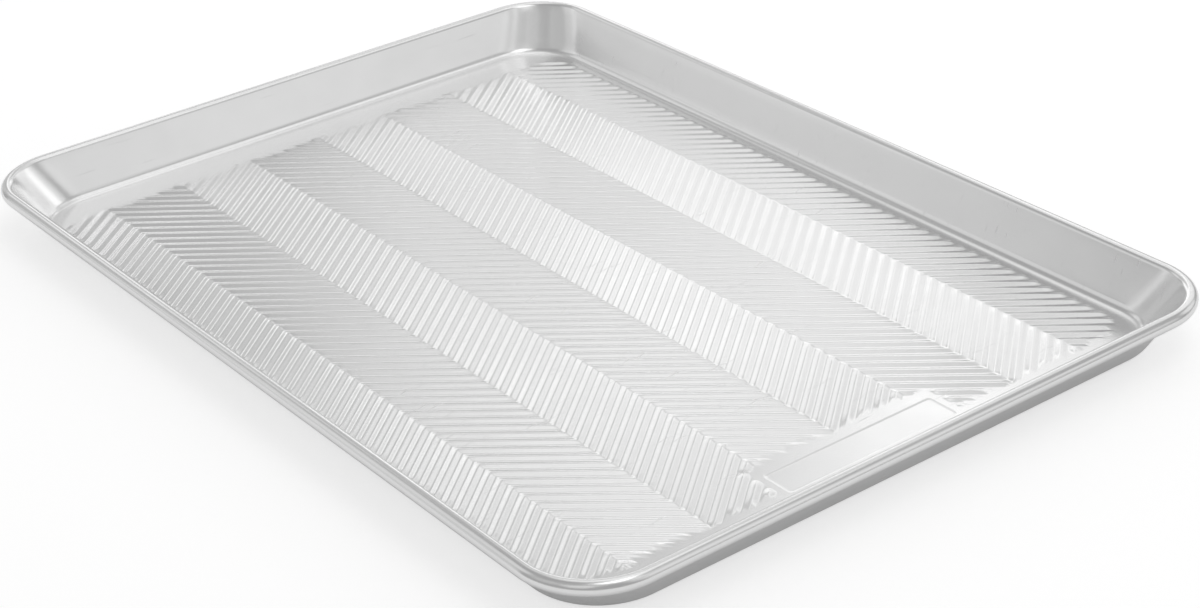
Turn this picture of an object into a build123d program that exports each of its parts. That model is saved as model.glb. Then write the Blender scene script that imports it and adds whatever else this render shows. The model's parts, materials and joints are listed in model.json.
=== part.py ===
from build123d import *
import os
from math import acos, atan2, ceil, cos, degrees, hypot, pi, sin, tan

# A low rectangular pan drawn from one sheet, with a herringbone of short ribs
# pressed into its floor and a steel wire rolled into its rim.
# X runs along the pan, Y across it and Z up. The origin is under the middle of
# the floor, on the surface that the pan stands on. Sizes are in millimetres.

# Outside sizes of the pan
pan_length = 400
pan_width = 285
pan_height = 20
corner_radius = 29

# Sheet, floor and wall: the wall leans out from the floor's edge to the rim
sheet = 1.0
floor_inset = 16.3
foot_corner_radius = 22
wall_fillet_radius = 5

# Rolled rim and the wire inside it: the wire and the inside of the roll have
# small flats, a wire flat behind each flat of the roll
wire_diameter = 3.2
wire_clearance = 0.1
wire_flats = 15
curl_flats = 12

# Herringbone: stripes run along the pan, ribs cross each one at a slant
rib_pitch = 6.4
stripe_width = 33.5
rib_lean = 28.8
rib_end_gap = 1.0
rib_width = 2.9
rib_height = 0.6
rib_end_slope = 1.0
shortest_rib = 4

# The ribbed field on the floor, and the bare plate place at one short side
stripe_shift = -1
field_end_margin = 11.2
field_side_margin = 4.2
field_corner_radius = 13
field_shift = 3
plate_width = 75
plate_depth = 17.3

# Worked out from the sizes above
bore_radius = wire_diameter / 2 + wire_clearance
bead_radius = bore_radius + sheet
bead_height = pan_height - bead_radius
bead_reach = corner_radius - bead_radius
floor_reach = corner_radius - floor_inset
floor_length = pan_length - 2 * floor_inset
floor_width = pan_width - 2 * floor_inset
flat_turn = 2 * pi / wire_flats
corner_x = pan_length / 2 - corner_radius
corner_y = pan_width / 2 - corner_radius


def wall_flare():
    """Lean of the wall from the vertical, in radians, tangent to fillet and bead."""
    across = bead_reach - floor_reach
    rise = bead_height - sheet - wall_fillet_radius
    between = hypot(across, rise)
    return acos((bead_radius + wall_fillet_radius) / between) - atan2(rise, across)


def wall_reach(level, bead_size):
    """Reach, from the rim's corner centre, of the wall face tangent to this bead circle."""
    flare = wall_flare()
    touch_reach = bead_reach - bead_size * cos(flare)
    touch_level = bead_height + bead_size * sin(flare)
    return touch_reach - (touch_level - level) * tan(flare)


def wall_outline(level, bead_size, corner_growth):
    """Plan outline of a wall face at a level, its corners rounder by the growth."""
    reach = wall_reach(level, bead_size)
    length = 2 * (corner_x + reach)
    width = 2 * (corner_y + reach)
    return Pos(0, 0, level) * RectangleRounded(length, width, reach + corner_growth)


def wall_solid(floor_level, bead_size):
    """All that lies within one wall face, from a floor level up to the bead's middle."""
    foot = wall_outline(floor_level, bead_size, foot_corner_radius - floor_reach)
    top = wall_outline(bead_height, bead_size, 0)
    return loft([foot, top], ruled=True)


def make_tray():
    """Flat floor and flared walls up to the bead's middle, with fillets at the foot."""
    tray = wall_solid(0, bore_radius) - wall_solid(sheet, bead_radius)
    tray = fillet(tray.edges().group_by(Axis.Z)[1], wall_fillet_radius)
    return fillet(tray.edges().group_by(Axis.Z)[0], wall_fillet_radius + sheet)


def rim_section():
    """Section of the rolled rim, X outward from a corner's centre, Z up."""
    bead_centre = Vector(bead_reach, 0, bead_height)

    def on_bead(bead_size, flats):
        angle = pi - wall_flare() - flats * flat_turn
        return bead_centre + Vector(cos(angle), 0, sin(angle)) * bead_size

    def wall_run(bead_size):
        return Line(Vector(wall_reach(bead_height, bead_size), 0, bead_height), on_bead(bead_size, 0))

    bead = ThreePointArc([on_bead(bead_radius, share * curl_flats) for share in (0, 0.5, 1)])
    bore = Polyline([on_bead(bore_radius, flats) for flats in range(curl_flats + 1)])
    inside = wall_run(bead_radius)
    outside = wall_run(bore_radius)
    wall_cut = Line(inside @ 0, outside @ 0)
    curl_lip = Line(bead @ 1, bore @ 1)
    return make_face([inside, bead, curl_lip, bore, outside, wall_cut])


def around_pan(section):
    """Carry a section, drawn outward from a corner's centre, round the whole pan."""
    corner = revolve(section, Axis.Z, 90)
    side_lengths = (2 * corner_x, 2 * corner_y)
    centres = ((corner_x, corner_y), (-corner_x, corner_y), (-corner_x, -corner_y), (corner_x, -corner_y))
    pieces = []
    for quarter, (x, y) in enumerate(centres):
        side = extrude(section, side_lengths[quarter % 2], dir=(0, 1, 0))
        pieces.append(Pos(x, y) * Rot(0, 0, 90 * quarter) * corner)
        pieces.append(Pos(x, y) * Rot(0, 0, 90 * (quarter + 1)) * side)
    return pieces


def ribbed_field():
    """The part of the floor that the ribs' middle lines may fill."""
    length = floor_length - 2 * field_end_margin
    width = floor_width - 2 * field_side_margin
    place_x = length / 2 - plate_depth / 2
    field = Pos(0, field_shift) * RectangleRounded(length, width, field_corner_radius)
    return field - Pos(place_x, 0) * Rectangle(plate_depth, plate_width)


def rib_lines():
    """Middle lines of the ribs: a zigzag across the stripes, broken at their edges."""
    field = ribbed_field()
    stripes_each_way = ceil(floor_width / stripe_width / 2)
    most_ribs_each_way = ceil((floor_length / 2 + rib_lean) / rib_pitch)
    gap_share = rib_end_gap / stripe_width
    lines = []
    for stripe in range(-stripes_each_way, stripes_each_way):
        low_lean = 0 if stripe % 2 else rib_lean
        climb = rib_lean - 2 * low_lean
        low_y = stripe * stripe_width + stripe_shift + rib_end_gap
        high_y = low_y + stripe_width - 2 * rib_end_gap
        for rib in range(-most_ribs_each_way, most_ribs_each_way + 1):
            low_x = rib * rib_pitch + low_lean + climb * gap_share
            high_x = rib * rib_pitch + low_lean + climb * (1 - gap_share)
            found = Line((low_x, low_y), (high_x, high_y)) & field
            if found is not None:
                lines += [edge for edge in found.edges() if edge.length > shortest_rib]
    return lines


def make_ribs():
    """One hipped bar on each line, standing on the floor."""
    half_width = rib_width / 2
    ribs = []
    for line in rib_lines():
        slope_start = line.length - rib_end_slope
        rib = Wedge(line.length, rib_height, rib_width, rib_end_slope, half_width, slope_start, half_width)
        middle = line @ 0.5
        run = line @ 1 - line @ 0
        turn = Rot(0, 0, degrees(atan2(run.Y, run.X))) * Rot(90, 0, 0)
        ribs.append(Pos(middle.X, middle.Y, sheet + rib_height / 2) * turn * rib)
    return ribs


def make_pan_body():
    return make_tray() + make_ribs() + around_pan(rim_section())


def make_rim_wire():
    inward_angle = degrees(pi - wall_flare())
    across = RegularPolygon(wire_diameter / 2, wire_flats, rotation=inward_angle)
    pieces = around_pan(Pos(bead_reach, 0, bead_height) * Rot(90, 0, 0) * across)
    return pieces[0] + pieces[1:]


os.makedirs("parts", exist_ok=True)
export_step(make_pan_body(), "parts/pan_body.step")
export_step(make_rim_wire(), "parts/rim_wire.step")
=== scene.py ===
import json
from math import acos, atan2, cos, floor, hypot, pi, radians, sin, sqrt

import bpy
from mathutils import Matrix, Vector
from mathutils.geometry import delaunay_2d_cdt

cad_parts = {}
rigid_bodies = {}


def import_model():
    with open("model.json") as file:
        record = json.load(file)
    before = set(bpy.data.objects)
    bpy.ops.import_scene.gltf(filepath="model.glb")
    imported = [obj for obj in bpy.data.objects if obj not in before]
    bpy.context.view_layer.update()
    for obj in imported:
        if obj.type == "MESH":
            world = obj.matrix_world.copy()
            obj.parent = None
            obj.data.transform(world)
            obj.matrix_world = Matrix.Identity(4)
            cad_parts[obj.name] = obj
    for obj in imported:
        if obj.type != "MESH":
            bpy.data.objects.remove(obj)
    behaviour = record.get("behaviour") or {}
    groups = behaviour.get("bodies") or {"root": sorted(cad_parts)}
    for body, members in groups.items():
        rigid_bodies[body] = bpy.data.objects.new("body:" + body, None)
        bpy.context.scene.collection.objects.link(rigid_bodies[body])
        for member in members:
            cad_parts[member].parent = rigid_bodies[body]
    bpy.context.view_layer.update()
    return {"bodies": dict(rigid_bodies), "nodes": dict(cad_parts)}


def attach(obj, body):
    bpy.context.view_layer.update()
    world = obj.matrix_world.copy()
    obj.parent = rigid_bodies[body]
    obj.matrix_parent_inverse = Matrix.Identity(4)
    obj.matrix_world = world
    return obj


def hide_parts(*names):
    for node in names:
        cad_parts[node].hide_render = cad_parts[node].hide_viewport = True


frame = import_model()

MM = 0.001

# Sizes of the pan, in millimetres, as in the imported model. The bore and bead are the
# inside and outside radius of the rolled rim and the curl is its turn in degrees. The
# flat rim is a strip of flat floor along the fillet
LENGTH, WIDTH, HEIGHT = 400.0, 285.0, 20.0
CORNER = 29.0
SHEET = 1.0
FLOOR_INSET = 16.3
FOOT_CORNER = 22.0
FILLET = 5.0
BORE = 1.7
BEAD = BORE + SHEET
CURL = 288.0
FLAT_RIM = 0.6
BEAD_Z = HEIGHT - BEAD
BEAD_REACH = CORNER - BEAD

# Herringbone of pressed bars: their field and the bare place in it
PITCH, STRIPE, LEAN = 6.4, 33.3, 28.8
BAR_SHIFT, STRIPE_SHIFT = 2.1, -1.8
BAR_LENGTH = hypot(STRIPE, LEAN)
BAR_HEIGHT, HOLLOW_DEPTH = 0.5, 0.42
FIELD_X, FIELD_LOW_Y, FIELD_HIGH_Y, FIELD_CORNER = 172.5, -125.0, 124.6, 13.0
FIELD_MIDDLE_Y, FIELD_HALF_Y = (FIELD_LOW_Y + FIELD_HIGH_Y) / 2, (FIELD_HIGH_Y - FIELD_LOW_Y) / 2
PLACE_X, PLACE_Y = 155.2, 39.6

# Shallow panel on the bare place, and its rings as (inset, share of the depth)
PANEL_X, PANEL_Y, PANEL_CORNER, PANEL_DEPTH = (158.7, 173.2), 37.4, 1.6, 0.16
PANEL_RINGS = ((0.0, 0.0), (0.3, 0.1), (0.9, 0.9), (1.2, 1.0), (1.7, 1.0))
PANEL_CORNER_STEPS = 6

# A bar's section, as shares of half the pitch, and how it ends: it dips where
# it meets the next stripe's bar and runs out at the edge of the field
RIDGE_SOFT, VALLEY_SOFT = 0.2, 0.2
TOP_SHARES = (-0.9, -0.75, -0.4, -0.14, 0.0, 0.14, 0.4, 0.75, 0.9, 1.0)
HOLLOW_SHARES = (-0.74, -0.4, 0.0, 0.4, 0.74, 1.0)
HOLLOW_SHARE = 0.78
MEETING_HEIGHT, MEETING_REACH = 0.85, 2.4
TIP_REACH, TIP_ROUND = 2.2, 0.9

# How finely the mesh is cut: steps round each corner and along each side, steps along
# the sheet's section, stripes and bars each way, rows across the pan, as distances from
# the edges of the stripes and field and as the spacing between these, the least gaps
# between rows, and how near together two points are one
CORNER_STEPS, LONG_SIDE_STEPS, SHORT_SIDE_STEPS = 28, 60, 44
FILLET_STEPS, WALL_STEPS, BEAD_STEPS, BORE_STEPS = 8, 6, 30, 14
STRIPES_EACH_WAY, BARS_EACH_WAY = 4, 36
TOP_ROWS_NEAR, TOP_ROW_STEP = (0.6, 1.2, 2.0, 3.0, 4.4), 3.0
HOLLOW_ROWS_NEAR, HOLLOW_ROW_STEP = (1.2, 2.6), 5.5
LEAST_EDGE_GAP, LEAST_NEAR_GAP = 0.1, 0.3
SAME_PLACE = 0.000001

# Aluminium: grey level and roughness, what the patches, clouds and scuffs change in them,
# each pattern's waves per metre along X, Y and Z, where scuffs start, and the heights of
# the grain and scuffs as shares of the bump's distance in metres
SHEET_TONE, PATCH_TONE, SCUFF_TONE = 0.86, 0.05, 0.03
ROUGHNESS, PATCH_ROUGH, CLOUD_ROUGH, SCUFF_ROUGH = 0.22, 0.12, 0.08, 0.05
PATCH_WAVES, CLOUD_WAVES = (9, 14, 30), (55, 75, 90)
GRAIN_WAVES, SCUFF_WAVES = (45, 2600, 60), (900, 35, 200)
SCUFF_START, SCUFF_FULL = 0.2, 0.26
GRAIN_HEIGHT, SCUFF_DEPTH, SHEET_BUMP = 0.35, 0.3, 0.00002

# Galvanised wire, in the same terms
WIRE_TONE, SPANGLE_TONE = 0.55, 0.14
WIRE_ROUGH, DULL_ROUGH = 0.45, 0.2
SPANGLE_WAVES, DULL_WAVES, WIRE_BUMP = (420, 420, 420), (60, 60, 60), 0.00001

# The table, in metres, and its glow as the camera and as the metal sees it: under the
# pan less is mirrored, up to a distance in millimetres beyond the pan's foot, a painted
# shadow in what the metal mirrors
TABLE_SIZE, TABLE_Z, TABLE_TONE = 6.0, -0.0005, 0.6
SEEN_GLOW, MIRRORED_GLOW, PAINTED_SHADOW_LEVEL = 0.60, 0.40, 0.12
PAINTED_SHADOW_FADE = 40.0

# The photograph's viewpoint in metres, its axes, and its focal length in pixels of a
# frame this many pixels wide
VIEW_FROM = (0.682508, -0.475578, 0.432804)
VIEW_RIGHT = (0.6069, 0.793091, -0.05177)
VIEW_DOWN = (0.348193, -0.323873, -0.879698)
VIEW_FORWARD = (-0.714447, 0.515862, -0.472707)
FOCAL_PIXELS, FRAME_PIXELS, SENSOR_WIDTH = 2491.54, 1200, 36.0

# The studio's even light, and its lamps as (azimuth, elevation, radius, distance, level)
DOME = 0.40
LAMPS = (
    (0.2, 70, 0.40, 1.6, 0.98), (140, 13, 0.13, 1.6, 0.76), (140, 21, 0.13, 1.6, 0.69),
    (132, 13, 0.13, 1.6, 0.65), (72.2, 70, 0.40, 1.6, 0.54), (119.2, 25, 0.15, 0.7, 0.53),
    (132, 37, 0.13, 1.6, 0.52), (164, 21, 0.13, 1.6, 0.50), (94.2, 25, 0.15, 0.7, 0.49),
    (74.2, 21, 0.42, 1.6, 0.45), (144.2, 70, 0.40, 1.6, 0.43), (164, 29, 0.13, 1.6, 0.40),
    (184.2, 36, 0.28, 1.6, 0.39), (154.2, 21, 0.28, 1.6, 0.38), (156, 21, 0.13, 1.6, 0.35),
    (224.2, 36, 0.42, 1.6, 0.33), (304.2, 36, 0.42, 1.6, 0.32), (144.2, 52, 0.36, 1.6, 0.32),
    (172, 13, 0.13, 1.6, 0.29), (224.2, 7, 0.42, 1.6, 0.29), (24.2, 30, 0.62, 1.6, 0.27),
    (99.2, 52, 0.36, 1.6, 0.26), (124, 37, 0.13, 1.6, 0.26), (148, 21, 0.13, 1.6, 0.25),
    (9.2, 52, 0.36, 1.6, 0.21), (164, 13, 0.13, 1.6, 0.20), (144.2, 25, 0.15, 0.7, 0.19),
    (184.2, 7, 0.28, 1.6, 0.19), (94.2, 45, 0.15, 0.7, 0.19), (116, 37, 0.13, 1.6, 0.17),
    (132, 29, 0.13, 1.6, 0.17), (34.2, 21, 0.42, 1.6, 0.17), (324.2, 52, 0.36, 1.6, 0.17),
    (194.2, 25, 0.15, 0.7, 0.15), (214.2, 21, 0.28, 1.6, 0.14), (264.2, 36, 0.42, 1.6, 0.14),
    (119.2, 45, 0.15, 0.7, 0.13), (114.2, 21, 0.28, 1.6, 0.08), (144.2, 45, 0.15, 0.7, 0.07),
    (54.2, 52, 0.36, 1.6, 0.06), (169.2, 45, 0.15, 0.7, 0.06), (279.2, 52, 0.36, 1.6, 0.05),
)


def corner_centres(inset, radius):
    """Centres of a rounded outline's corners, turning with the outline from +X+Y."""
    x, y = LENGTH / 2 - inset - radius, WIDTH / 2 - inset - radius
    return [(x, y), (-x, y), (-x, -y), (x, -y)]


def stations():
    """Places round the pan: (rim centre, foot centre, outward unit vector) each."""
    rim = corner_centres(0, CORNER)
    foot = corner_centres(FLOOR_INSET, FOOT_CORNER)
    places = []
    for quarter in range(4):
        for step in range(CORNER_STEPS):
            angle = (quarter + step / CORNER_STEPS) * pi / 2
            places.append((rim[quarter], foot[quarter], (cos(angle), sin(angle))))
        after = (quarter + 1) % 4
        angle = (quarter + 1) * pi / 2
        steps = LONG_SIDE_STEPS if quarter % 2 == 0 else SHORT_SIDE_STEPS
        for step in range(steps):
            share = step / steps
            on_rim, on_foot = (
                tuple(a + (b - a) * share for a, b in zip(centres[quarter], centres[after]))
                for centres in (rim, foot))
            places.append((on_rim, on_foot, (cos(angle), sin(angle))))
    return places


def section(place):
    """Points of the sheet's section at a place, from the floor over the rim and back under it."""
    rim, foot, out = place
    across = (rim[0] - foot[0]) * out[0] + (rim[1] - foot[1]) * out[1] + BEAD_REACH - FOOT_CORNER
    rise = BEAD_Z - SHEET - FILLET
    flare = acos((BEAD + FILLET) / hypot(across, rise)) - atan2(rise, across)

    def at(centre, reach, z):
        return Vector((centre[0] + out[0] * reach, centre[1] + out[1] * reach, z))

    def on_fillet(radius, share):
        angle = -pi / 2 + share * (pi / 2 - flare)
        return at(foot, FOOT_CORNER + radius * cos(angle), SHEET + FILLET + radius * sin(angle))

    def on_bead(radius, share):
        angle = pi - flare - share * radians(CURL)
        return at(rim, BEAD_REACH + radius * cos(angle), BEAD_Z + radius * sin(angle))

    def face(fillet_radius, bead_radius, steps):
        points = [at(foot, FOOT_CORNER - FLAT_RIM, SHEET + FILLET - fillet_radius)]
        points += [on_fillet(fillet_radius, k / FILLET_STEPS) for k in range(FILLET_STEPS + 1)]
        low, high = points[-1], on_bead(bead_radius, 0)
        points += [low.lerp(high, k / WALL_STEPS) for k in range(1, WALL_STEPS)]
        return points + [on_bead(bead_radius, k / steps) for k in range(steps + 1)]

    inner = face(FILLET, BEAD, BEAD_STEPS)
    outer = face(FILLET + SHEET, BORE, BORE_STEPS)
    return inner + outer[::-1]


def smooth(share):
    """Soft step from 0 to 1 as the share goes from 0 to 1."""
    share = min(max(share, 0.0), 1.0)
    return share * share * (3 - 2 * share)


def zigzag(y):
    """Shift along X of the bars' middle lines at a place across the pan."""
    stripe = floor((y - STRIPE_SHIFT) / STRIPE)
    share = (y - STRIPE_SHIFT) / STRIPE - stripe
    return BAR_SHIFT + LEAN * (share if stripe % 2 else 1 - share)


def bar_section(share, half_share):
    """Share of a bar's height at a share of half the pitch, with a soft ridge and valley."""
    share = min(share / half_share, 1.0)
    lowest, highest = VALLEY_SOFT / 2, 1 - RIDGE_SOFT / 2
    if share < RIDGE_SOFT:
        height = highest - share ** 2 / (2 * RIDGE_SOFT)
    elif share > 1 - VALLEY_SOFT:
        height = (1 - share) ** 2 / (2 * VALLEY_SOFT) + lowest
    else:
        height = 1 - share
    return (height - lowest) / (highest - lowest)


def field_reach(y):
    """Half length of the ribbed field at a place across the pan."""
    beyond = abs(y - FIELD_MIDDLE_Y) - (FIELD_HALF_Y - FIELD_CORNER)
    if beyond <= 0:
        return FIELD_X
    return FIELD_X - FIELD_CORNER + sqrt(max(FIELD_CORNER ** 2 - beyond ** 2, 0))


def field_depth(x, y):
    """How far inside the ribbed field a place is."""
    over_x = abs(x) - (FIELD_X - FIELD_CORNER)
    over_y = abs(y - FIELD_MIDDLE_Y) - (FIELD_HALF_Y - FIELD_CORNER)
    depth = FIELD_CORNER - hypot(max(over_x, 0), max(over_y, 0)) - min(max(over_x, over_y), 0)
    return min(depth, max(PLACE_X - x, abs(y) - PLACE_Y))


def relief(x, y, half_share):
    """Share of a bar's height at a place on the floor."""
    stripe = floor((y - STRIPE_SHIFT) / STRIPE)
    climb = LEAN if stripe % 2 else -LEAN
    aside = (x - zigzag(y) + PITCH / 2) % PITCH - PITCH / 2
    share = 2 * abs(aside) / PITCH
    along = aside * climb / BAR_LENGTH
    foot_x, foot_y = x - aside + along * climb / BAR_LENGTH, y + along * STRIPE / BAR_LENGTH
    from_low = ((y - STRIPE_SHIFT) / STRIPE - stripe) * BAR_LENGTH + along
    from_end = min(from_low, BAR_LENGTH - from_low) - TIP_ROUND * share ** 2
    meeting = MEETING_HEIGHT + (1 - MEETING_HEIGHT) * smooth(from_end / MEETING_REACH)
    tip = smooth((field_depth(foot_x, foot_y) - TIP_ROUND * share ** 2) / TIP_REACH)
    return bar_section(share, half_share) * meeting * tip


def relief_rows(near_ends, middle_step):
    """Rows across the pan: on each stripe's and the field's edges, near them, and between."""
    stripes = range(-STRIPES_EACH_WAY, STRIPES_EACH_WAY + 1)
    edges = [stripe * STRIPE + STRIPE_SHIFT for stripe in stripes]
    edges += [FIELD_LOW_Y, FIELD_HIGH_Y, -PLACE_Y, PLACE_Y]
    near = [edge + way * step for edge in edges for step in near_ends for way in (-1, 1)]
    steps = int(2 * STRIPES_EACH_WAY * STRIPE / middle_step)
    between = [edges[0] + middle_step * k for k in range(steps)]
    wanted = ((edges, LEAST_EDGE_GAP), (near, LEAST_NEAR_GAP), (between, middle_step / 2))
    rows = []
    for places, spacing in wanted:
        for y in places:
            if FIELD_LOW_Y <= y <= FIELD_HIGH_Y and all(abs(y - row) > spacing for row in rows):
                rows.append(y)
    return sorted(rows)


def press_relief(build, level, height, shares, half_share, rows, up):
    """The herringbone, on rows and on the bars' own lines across them; returns its outline."""
    per_bar, grid = len(shares), []
    for y in rows:
        low = -field_reach(y)
        high = min(-low, PLACE_X) if abs(y) < PLACE_Y else -low
        row = {}
        for bar in range(-BARS_EACH_WAY, BARS_EACH_WAY + 1):
            for number, share in enumerate(shares):
                x = zigzag(y) + (bar + share / 2) * PITCH
                if low <= x <= high:
                    row[bar * per_bar + number] = (x, y, level + height * relief(x, y, half_share))
        grid.append(row)
    used, cells = {}, []

    def corner(row, column):
        if (row, column) not in used:
            used[row, column] = build.ring([grid[row][column]])[0]
        return used[row, column]

    for row in range(len(rows) - 1):
        for column in grid[row]:
            places = ((row, column), (row, column + 1), (row + 1, column + 1), (row + 1, column))
            if all(k in grid[r] for r, k in places):
                cells.append(tuple(corner(r, k) for r, k in places))
    build.faces += [cell if up else cell[::-1] for cell in cells]
    return outline_of(cells)


def outline_of(faces):
    """The one outline of a patch of faces, as its vertices in order."""
    follows = {}
    for face in faces:
        for here, after in zip(face, face[1:] + face[:1]):
            if here in follows.get(after, ()):
                follows[after].remove(here)
            else:
                follows.setdefault(here, set()).add(after)
    follows = {here: after.pop() for here, after in follows.items() if after}
    outline = [min(follows)]
    while follows[outline[-1]] != outline[0]:
        outline.append(follows[outline[-1]])
    return outline


class Builder:
    """Collects vertices and faces in millimetres."""

    def __init__(self):
        self.verts, self.faces = [], []

    def ring(self, points):
        """Add points and return their numbers."""
        first = len(self.verts)
        self.verts += points
        return list(range(first, first + len(points)))

    def join(self, low, high, closed=True):
        """Add a strip of faces between two rings or, not closed, between two lines."""
        n = len(low)
        for k in range(n if closed else n - 1):
            m = (k + 1) % n
            self.faces.append((low[k], low[m], high[m], high[k]))

    def mesh(self, name):
        """All of it as a smooth mesh in metres."""
        data = bpy.data.meshes.new(name)
        data.from_pydata([Vector(v) * MM for v in self.verts], [], self.faces)
        data.validate()
        data.polygons.foreach_set("use_smooth", [True] * len(data.polygons))
        data.update()
        return data


def press_panel(build):
    """Shallow bare panel on the place kept free of bars; returns its outline on the flat."""
    rings = []
    for inset, drop in PANEL_RINGS:
        round_off = PANEL_CORNER - inset / 2
        low_x, high_x = PANEL_X[0] + inset + round_off, PANEL_X[1] - inset - round_off
        high_y = PANEL_Y - inset - round_off
        centres = ((high_x, high_y), (low_x, high_y), (low_x, -high_y), (high_x, -high_y))
        points = []
        for quarter, (x, y) in enumerate(centres):
            for k in range(PANEL_CORNER_STEPS + 1):
                angle = (quarter + k / PANEL_CORNER_STEPS) * pi / 2
                points.append((x + round_off * cos(angle), y + round_off * sin(angle),
                               SHEET - PANEL_DEPTH * drop))
        rings.append(build.ring(points))
    for outer, inner in zip(rings, rings[1:]):
        build.join(outer, inner)
    build.faces.append(tuple(rings[-1]))
    return rings[0]


def floor_face(build, edge, outlines, up):
    """Flat face between the floor's edge and the outlines of what is pressed into it."""
    ids, loops = [], []
    for loop in [edge] + outlines:
        loops.append(list(range(len(ids), len(ids) + len(loop))))
        ids += loop
    points = [Vector(build.verts[i][:2]) for i in ids]
    _, _, triangles, sources, _, within = delaunay_2d_cdt(points, [], loops, 0, SAME_PLACE)
    for triangle, owners in zip(triangles, within):
        if set(owners) == {0}:
            face = tuple(ids[sources[k][0]] for k in triangle)
            build.faces.append(face if up else face[::-1])


def keep_flat(data, facing_up, facing_down):
    """Set upright normals along the edges of the flat faces, so that shading leaves them flat."""
    normals = [tuple(vertex.normal) for vertex in data.vertices]
    for vertices, way in ((facing_up, 1.0), (facing_down, -1.0)):
        for vertex in vertices:
            normals[vertex] = (0.0, 0.0, way)
    data.normals_split_custom_set_from_vertices(normals)


def make_body():
    """The whole sheet: ribbed floor, flared walls and rolled rim, one closed mesh."""
    build = Builder()
    rings = [build.ring([tuple(p) for p in section(place)]) for place in stations()]
    for here, after in zip(rings, rings[1:] + rings[:1]):
        build.join(here, after, closed=False)
    top_edge = [ring[0] for ring in rings]
    low_edge = [ring[-1] for ring in rings]
    rows = relief_rows(TOP_ROWS_NEAR, TOP_ROW_STEP)
    bars = press_relief(build, SHEET, BAR_HEIGHT, TOP_SHARES, 1.0, rows, True)
    panel = press_panel(build)
    floor_face(build, top_edge, [bars, panel], True)
    rows = relief_rows(HOLLOW_ROWS_NEAR, HOLLOW_ROW_STEP)
    hollows = press_relief(build, 0.0, HOLLOW_DEPTH, HOLLOW_SHARES, HOLLOW_SHARE, rows, False)
    floor_face(build, low_edge, [hollows], False)
    data = build.mesh("pan_sheet")
    keep_flat(data, top_edge + bars + panel, low_edge + hollows)
    return data


def add(name, data):
    """A new object in the scene, of a mesh, lamp or camera."""
    piece = bpy.data.objects.new(name, data)
    bpy.context.scene.collection.objects.link(piece)
    return piece


class Nodes:
    """Short ways to add and wire shader nodes in one material."""

    def __init__(self, name):
        self.material = bpy.data.materials.new(name)
        self.material.use_nodes = True
        self.nodes, self.links = self.material.node_tree.nodes, self.material.node_tree.links
        self.shader = self.nodes["Principled BSDF"]

    def add(self, kind, settings=(), inputs=()):
        node = self.nodes.new(kind)
        for key, value in dict(settings).items():
            setattr(node, key, value)
        for key, value in dict(inputs).items():
            if isinstance(value, bpy.types.NodeSocket):
                self.links.new(value, node.inputs[key])
            else:
                node.inputs[key].default_value = value
        return node

    def noise(self, scale, detail=3.0, seed=0.0):
        """Noise from -0.5 to 0.5; scale is waves per metre along X, Y and Z."""
        place = self.add("ShaderNodeTexCoord").outputs["Object"]
        inputs = {"Vector": place, "Scale": scale, "Location": (seed, seed, seed)}
        spread = self.add("ShaderNodeMapping", inputs=inputs).outputs[0]
        inputs = {"Vector": spread, "Scale": 1.0, "Detail": detail}
        cloud = self.add("ShaderNodeTexNoise", inputs=inputs).outputs[0]
        return self.math("SUBTRACT", cloud, 0.5)

    def math(self, operation, first, second=0.0):
        node = self.add("ShaderNodeMath", {"operation": operation}, {0: first, 1: second})
        return node.outputs[0]

    def plus(self, base, pattern, share):
        """The base with a share of a pattern added."""
        return self.math("ADD", base, self.math("MULTIPLY", pattern, share))

    def bump(self, height, distance):
        """Roughen the shader's normal by a height, where 1 is the distance in metres."""
        inputs = {"Height": height, "Strength": 1.0, "Distance": distance}
        made = self.add("ShaderNodeBump", inputs=inputs)
        self.links.new(made.outputs[0], self.shader.inputs["Normal"])

    def ramp(self, value, low, high, out_low=0.0, out_high=1.0):
        """Straight ramp between two values, level beyond them."""
        inputs = {"Value": value, "From Min": low, "From Max": high,
                  "To Min": out_low, "To Max": out_high}
        return self.add("ShaderNodeMapRange", inputs=inputs).outputs[0]

    def grey(self, value):
        inputs = {"Red": value, "Green": value, "Blue": value}
        return self.add("ShaderNodeCombineColor", inputs=inputs).outputs[0]


def aluminium():
    """Bright natural aluminium sheet: satin, with soft patches, a rolled grain and light scuffs."""
    made = Nodes("natural_aluminium_sheet")
    shader = made.shader
    shader.inputs["Metallic"].default_value = 1.0
    patches = made.noise(PATCH_WAVES, detail=4.0)
    clouds = made.noise(CLOUD_WAVES, seed=4.0)
    grain = made.noise(GRAIN_WAVES, detail=2.0, seed=9.0)
    scuff_lines = made.noise(SCUFF_WAVES, detail=1.0, seed=2.0)
    scuffs = made.ramp(scuff_lines, SCUFF_START, SCUFF_FULL)
    tone = made.plus(SHEET_TONE, patches, PATCH_TONE)
    tone = made.plus(tone, scuffs, -SCUFF_TONE)
    made.links.new(made.grey(tone), shader.inputs["Base Color"])
    rough = made.plus(ROUGHNESS, patches, PATCH_ROUGH)
    rough = made.plus(rough, clouds, CLOUD_ROUGH)
    rough = made.plus(rough, scuffs, SCUFF_ROUGH)
    made.links.new(rough, shader.inputs["Roughness"])
    height = made.plus(clouds, grain, GRAIN_HEIGHT)
    height = made.plus(height, scuffs, -SCUFF_DEPTH)
    made.bump(height, SHEET_BUMP)
    return made.material


def galvanised():
    """Dull zinc on steel wire, faintly spangled."""
    made = Nodes("galvanised_steel_wire")
    shader = made.shader
    shader.inputs["Metallic"].default_value = 1.0
    spangle = made.noise(SPANGLE_WAVES, detail=2.0)
    dull = made.noise(DULL_WAVES, seed=5.0)
    tone = made.plus(WIRE_TONE, spangle, SPANGLE_TONE)
    made.links.new(made.grey(tone), shader.inputs["Base Color"])
    made.links.new(made.plus(WIRE_ROUGH, dull, DULL_ROUGH), shader.inputs["Roughness"])
    made.bump(spangle, WIRE_BUMP)
    return made.material


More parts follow.
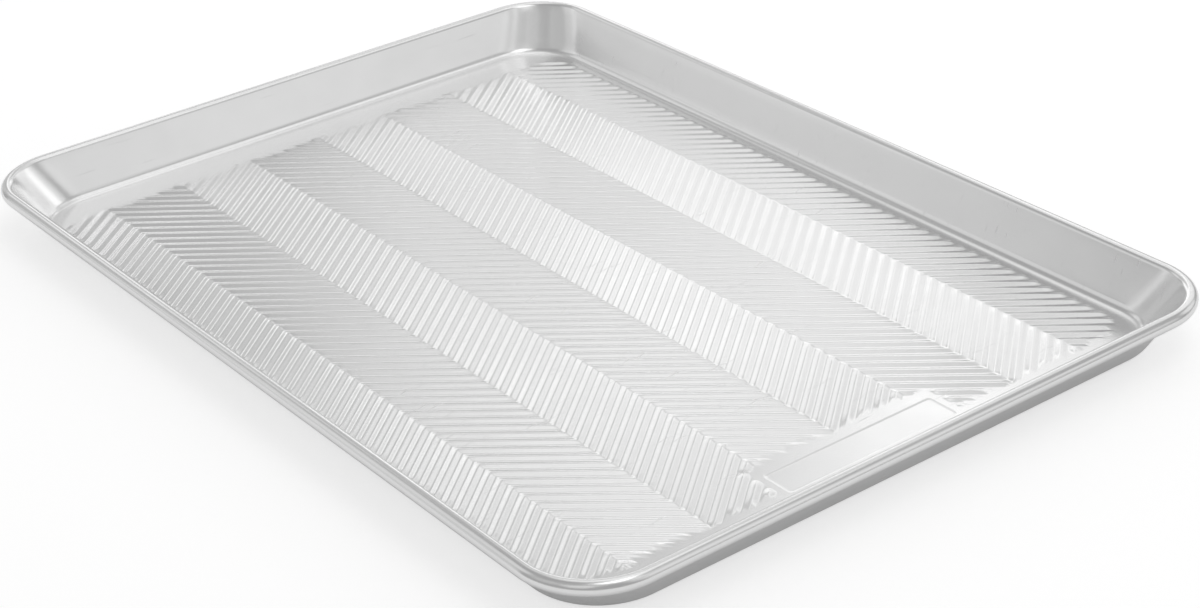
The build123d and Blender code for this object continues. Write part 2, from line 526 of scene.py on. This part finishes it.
def table():
    """The pale floor: white beyond the pan and darkened by its soft shadow; a painted shadow dims
    its mirrored glow near the pan.
    """
    data = bpy.data.meshes.new("table")
    signs = ((-1, -1), (1, -1), (1, 1), (-1, 1))
    corners = [(x * TABLE_SIZE, y * TABLE_SIZE, TABLE_Z) for x, y in signs]
    data.from_pydata(corners, [], [(0, 1, 2, 3)])
    ground = add("table", data)
    made = Nodes("table_white")
    shader = made.shader
    shader.inputs["Base Color"].default_value = (TABLE_TONE, TABLE_TONE, TABLE_TONE, 1)
    shader.inputs["Roughness"].default_value = 1.0
    shader.inputs["Specular IOR Level"].default_value = 0.0
    rays = made.add("ShaderNodeLightPath").outputs
    seen = made.math("MAXIMUM", rays["Is Camera Ray"], rays["Is Transmission Ray"])
    place = made.add("ShaderNodeTexCoord").outputs["Object"]
    axes = made.add("ShaderNodeSeparateXYZ", inputs={0: place}).outputs
    away = []
    for axis, half in ((axes[0], LENGTH / 2), (axes[1], WIDTH / 2)):
        straight = (half - FLOOR_INSET - FOOT_CORNER) * MM
        beyond = made.math("SUBTRACT", made.math("ABSOLUTE", axis), straight)
        away.append(made.math("POWER", made.math("MAXIMUM", beyond, 0.0), 2.0))
    reach = made.math("SQRT", made.math("ADD", away[0], away[1]))
    # Painted shadow: the glow that the metal mirrors is dimmed under the pan and fades back in
    # beyond its foot
    low, high = FOOT_CORNER * MM, (FOOT_CORNER + PAINTED_SHADOW_FADE) * MM
    glow_with_painted_shadow = made.ramp(reach, low, high, PAINTED_SHADOW_LEVEL, MIRRORED_GLOW)
    mirrored = made.math("MULTIPLY", rays["Is Glossy Ray"], glow_with_painted_shadow)
    shader.inputs["Emission Color"].default_value = (1, 1, 1, 1)
    made.links.new(made.plus(mirrored, seen, SEEN_GLOW), shader.inputs["Emission Strength"])
    data.materials.append(made.material)


def lights():
    """An even studio dome with large round soft lamps in front of it."""
    world = bpy.data.worlds.new("studio")
    bpy.context.scene.world = world
    world.use_nodes = True
    dome = world.node_tree.nodes["Background"].inputs
    dome["Color"].default_value = (1, 1, 1, 1)
    dome["Strength"].default_value = DOME
    for number, (azimuth, elevation, radius, distance, level) in enumerate(LAMPS):
        data = bpy.data.lights.new("lamp_%d" % number, "AREA")
        data.shape = "DISK"
        data.size = 2 * radius
        # A disk's power is pi times its area times its radiance
        data.energy = level * pi * pi * radius ** 2
        lamp = add("lamp_%d" % number, data)
        turn, lift = radians(azimuth), radians(elevation)
        towards = Vector((cos(lift) * cos(turn), cos(lift) * sin(turn), sin(lift)))
        lamp.location = towards * distance
        lamp.rotation_euler = towards.to_track_quat("Z", "Y").to_euler()
        lamp.visible_camera = False


def camera():
    """The photograph's viewpoint."""
    data = bpy.data.cameras.new("camera")
    data.sensor_width = SENSOR_WIDTH
    data.lens = SENSOR_WIDTH * FOCAL_PIXELS / FRAME_PIXELS
    right, down, forward = Vector(VIEW_RIGHT), Vector(VIEW_DOWN), Vector(VIEW_FORWARD)
    turn = Matrix((right, -down, -forward)).transposed()
    viewer = add("camera", data)
    viewer.matrix_world = Matrix.Translation(VIEW_FROM) @ turn.to_4x4()
    bpy.context.scene.camera = viewer


camera()
body = add("pan_sheet", make_body())
body.data.materials.append(aluminium())
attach(body, "root" if "root" in frame["bodies"] else list(frame["bodies"])[0])
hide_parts("pan_body")

steel = galvanised()
for slot in frame["nodes"]["rim_wire"].material_slots:
    slot.material = steel
table()
lights()
bpy.context.scene.view_settings.view_transform = "Standard"
